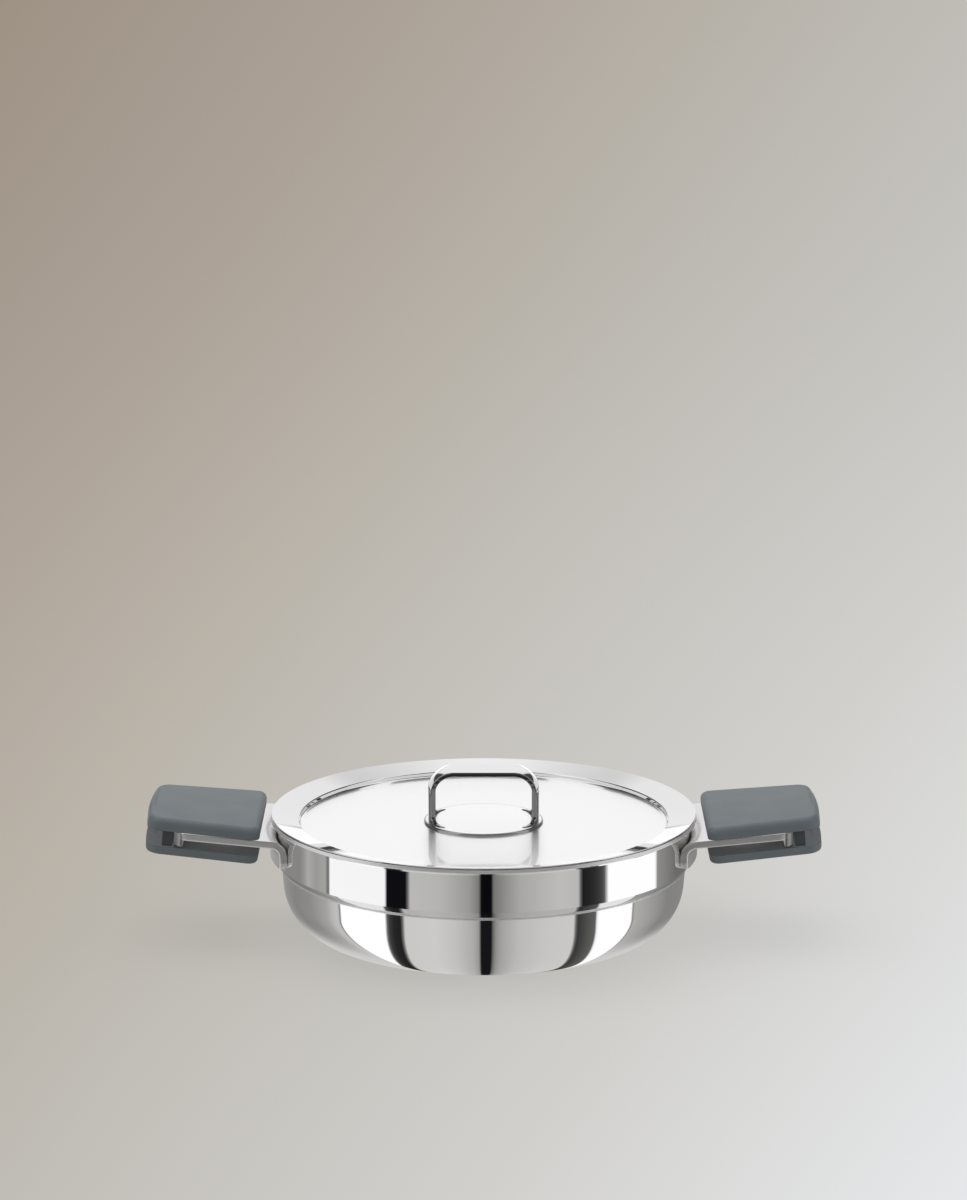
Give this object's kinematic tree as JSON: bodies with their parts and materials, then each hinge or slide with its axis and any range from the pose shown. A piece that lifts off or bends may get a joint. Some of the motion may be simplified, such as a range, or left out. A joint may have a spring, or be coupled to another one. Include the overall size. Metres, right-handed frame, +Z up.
{
  "type": "braiser",
  "caption": "Shallow round clad-steel braiser with a dished steel lid, a strap lid handle on a round plate and two side handles with pull-off silicone grips.",
  "frame": {"origin": "centre of the flat base, on the surface that the pan stands on", "axes": "+Z up out of the pan, +X from the centre to the right side handle, -Y towards the cook"},
  "size_m": [0.46, 0.2906, 0.1146],
  "materials": {
    "polished_steel": "mirror-polished stainless steel",
    "satin_steel": "satin-ground stainless steel inside the pan",
    "core_aluminium": "bonded aluminium core, bare at the cut rim",
    "silicone": "matte blue-grey moulded silicone"
  },
  "bodies": {
    "pot": {"pot_outer_layer": "polished_steel", "pot_core_layer": "core_aluminium", "pot_inner_layer": "satin_steel", "left_handle": "polished_steel", "right_handle": "polished_steel"},
    "lid": {"lid": "polished_steel", "lid_handle_plate": "polished_steel", "lid_handle": "polished_steel"},
    "left_grip": {"left_grip": "silicone"},
    "right_grip": {"right_grip": "silicone"}
  },
  "joints": [
    {"name": "lid_lift", "type": "slide", "parent": "pot", "child": "lid", "axis": [0, 0, 1], "range_m": [0, 0.12]},
    {"name": "left_grip_pull", "type": "slide", "parent": "pot", "child": "left_grip", "axis": [-0.9959, 0, 0.0906], "range_m": [0, 0.065]},
    {"name": "right_grip_pull", "type": "slide", "parent": "pot", "child": "right_grip", "axis": [0.9959, 0, 0.0906], "range_m": [0, 0.065]}
  ]
}
